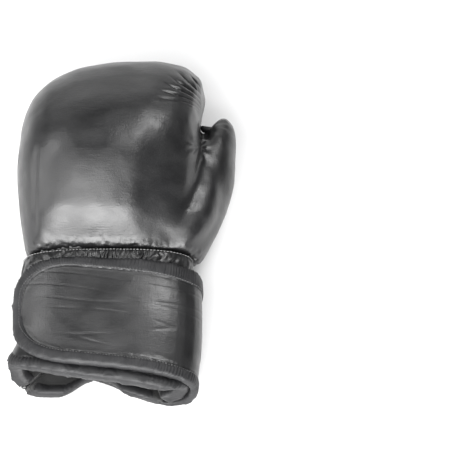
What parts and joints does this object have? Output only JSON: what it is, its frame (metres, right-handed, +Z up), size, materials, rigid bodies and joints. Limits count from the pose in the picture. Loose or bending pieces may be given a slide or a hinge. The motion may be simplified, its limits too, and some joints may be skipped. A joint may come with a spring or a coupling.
{
  "type": "boxing glove",
  "caption": "Left-hand boxing glove with a padded fist, a separate thumb, a split wrist cuff and a wide wrap-around hook-and-loop strap with a rounded end.",
  "frame": {"origin": "middle of the footprint, on the surface the glove lies on", "axes": "+X to the thumb, +Y from the cuff to the knuckles (longest), +Z up through the back of the hand"},
  "size_m": [0.1774, 0.2781, 0.1149],
  "materials": {
    "black_vinyl": "semi-gloss grained vinyl",
    "palm_vinyl": "semi-gloss grained vinyl",
    "binding_tape": "folded vinyl tape with crosswise ribs",
    "lining": "woven nylon",
    "foam": "soft padding foam",
    "dense_foam": "dense padding foam",
    "strap_core": "stiffening webbing",
    "hook_and_loop": "hook and loop pile",
    "thread": "twisted thread"
  },
  "bodies": {
    "glove_body": {"back_cover": "black_vinyl", "outer_foam": "foam", "inner_foam": "dense_foam", "palm_cover": "palm_vinyl", "palm_foam": "foam", "grip_cover": "palm_vinyl", "finger_foam": "foam", "hand_lining": "lining", "grip_bar": "lining", "crease_tape": "binding_tape", "cuff_cover": "black_vinyl", "cuff_foam": "foam", "cuff_lining": "lining", "cuff_hem_tape": "binding_tape", "wrist_welt": "black_vinyl", "wrist_thread": "thread", "cuff_loop_patch": "hook_and_loop"},
    "thumb": {"thumb_back_cover": "black_vinyl", "thumb_palm_cover": "palm_vinyl", "thumb_foam": "foam", "thumb_lining": "lining", "thumb_tab": "binding_tape"},
    "thumb_flap": {"thumb_flap_cover": "black_vinyl", "thumb_flap_foam": "foam", "thumb_flap_lining": "lining", "thumb_flap_hem_tape": "binding_tape"},
    "little_finger_flap": {"little_finger_flap_cover": "black_vinyl", "little_finger_flap_foam": "foam", "little_finger_flap_lining": "lining", "little_finger_flap_hem_tape": "binding_tape", "strap_anchor": "black_vinyl"},
    "strap_palm": {"strap_palm_face": "black_vinyl", "strap_palm_core": "strap_core", "strap_palm_upper_tape": "binding_tape", "strap_palm_lower_tape": "binding_tape"},
    "strap_side": {"strap_side_face": "black_vinyl", "strap_side_core": "strap_core", "strap_side_upper_tape": "binding_tape", "strap_side_lower_tape": "binding_tape"},
    "strap_end": {"strap_end_face": "black_vinyl", "strap_end_core": "strap_core", "strap_end_tape": "binding_tape", "strap_hook_patch": "hook_and_loop"}
  },
  "joints": [
    {"name": "strap_side_fold", "type": "hinge", "parent": "strap_palm", "child": "strap_side", "pos_m": [0.05341, -0.09199, 0.01053], "axis": [0.0504, 0.9969, 0.0603], "range_deg": [0, 75]},
    {"name": "strap_end_fold", "type": "hinge", "parent": "strap_side", "child": "strap_end", "pos_m": [0.05549, -0.08869, 0.05282], "axis": [0.0414, 0.9951, 0.0894], "range_deg": [0, 90]},
    {"name": "strap_palm_fold", "type": "hinge", "parent": "little_finger_flap", "child": "strap_palm", "pos_m": [-0.07179, -0.0655, 0.00481], "axis": [0.0896, 0.9944, 0.0563], "range_deg": [0, 1.5]},
    {"name": "little_finger_flap_fold", "type": "hinge", "parent": "glove_body", "child": "little_finger_flap", "pos_m": [-0.04328, -0.0784, 0.0068], "axis": [0.6184, 0.7859, 0], "range_deg": [0, 0.75]},
    {"name": "thumb_flap_fold", "type": "hinge", "parent": "glove_body", "child": "thumb_flap", "pos_m": [0.01391, -0.08521, 0.0068], "axis": [0.4147, -0.9099, 0], "range_deg": [0, 2.25]},
    {"name": "thumb_flex", "type": "hinge", "parent": "glove_body", "child": "thumb", "pos_m": [0.0579, -0.0222, 0.038], "axis": [0, 0, -1], "range_deg": [0, 5], "stiffness_Nm_per_rad": 1.5}
  ],
  "couplings": [
    {"joint": "strap_end_fold", "follows": "strap_side_fold", "ratio": 1.2},
    {"joint": "strap_palm_fold", "follows": "strap_side_fold", "ratio": 0.02},
    {"joint": "little_finger_flap_fold", "follows": "strap_side_fold", "ratio": 0.01},
    {"joint": "thumb_flap_fold", "follows": "strap_side_fold", "ratio": 0.03}
  ]
}
